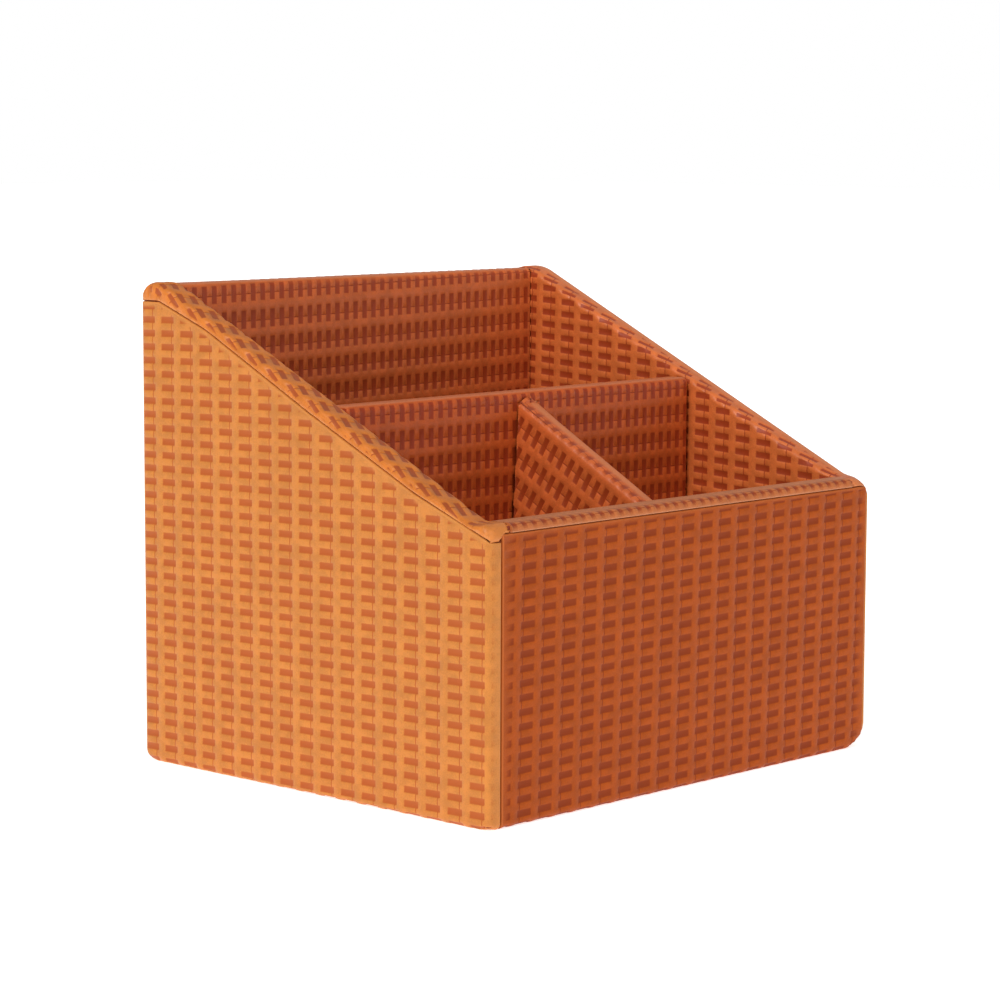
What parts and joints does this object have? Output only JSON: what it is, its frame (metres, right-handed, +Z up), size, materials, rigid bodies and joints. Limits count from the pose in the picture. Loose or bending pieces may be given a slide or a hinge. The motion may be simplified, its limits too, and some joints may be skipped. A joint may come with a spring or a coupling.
{
  "type": "remote control holder",
  "caption": "Free-standing desk caddy with a high back, sloped side walls, a low front wall and upright dividers, wrapped in basket-weave embossed leatherette.",
  "frame": {"origin": "centre of the underside, on the table", "axes": "+X to the right seen from the low front wall, +Y towards the high back wall, +Z up"},
  "size_m": [0.14, 0.118, 0.1185],
  "materials": {
    "fibreboard": "raw board, hidden under the wrap",
    "cover_leatherette": "satin, embossed basket weave",
    "lining_leatherette": "satin, embossed basket weave",
    "underside_leatherette": "matt"
  },
  "bodies": {
    "root": {"base_board": "fibreboard", "left_board": "fibreboard", "right_board": "fibreboard", "front_board": "fibreboard", "back_board": "fibreboard", "middle_divider_board": "fibreboard", "front_divider_board": "fibreboard", "left_cover": "cover_leatherette", "right_cover": "cover_leatherette", "front_cover": "cover_leatherette", "back_cover": "cover_leatherette", "underside_cover": "underside_leatherette", "left_lining": "lining_leatherette", "right_lining": "lining_leatherette", "front_lining": "lining_leatherette", "back_lining": "lining_leatherette", "floor_lining": "lining_leatherette", "middle_divider_wrap": "lining_leatherette", "front_divider_wrap": "lining_leatherette"}
  },
  "joints": []
}
